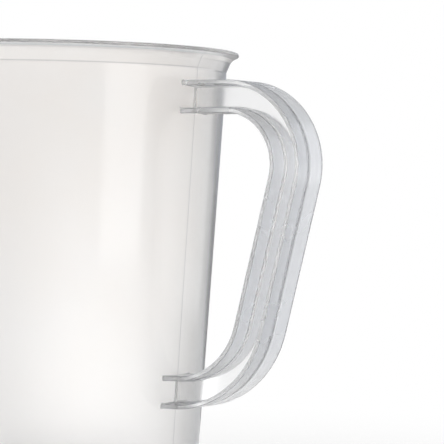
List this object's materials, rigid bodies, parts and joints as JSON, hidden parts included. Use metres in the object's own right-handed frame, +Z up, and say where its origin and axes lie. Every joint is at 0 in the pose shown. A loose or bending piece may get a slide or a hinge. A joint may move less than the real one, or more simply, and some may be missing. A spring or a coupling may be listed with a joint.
{
  "type": "plastic measuring beaker",
  "caption": "Tapered translucent plastic measuring beaker with a flared collar, a pouring spout and a large loop handle of H section.",
  "frame": {"origin": "middle of the flat underside, on the beaker's axis", "axes": "+Z up along the beaker's axis, +X towards the handle, -X towards the spout, -Y the side that faces someone who holds the handle in the right hand"},
  "size_m": [0.2111, 0.16, 0.16],
  "materials": {
    "milky_plastic": "natural polypropylene, translucent and slightly cloudy, satin gloss"
  },
  "bodies": {
    "root": {"beaker": "milky_plastic"}
  },
  "joints": []
}
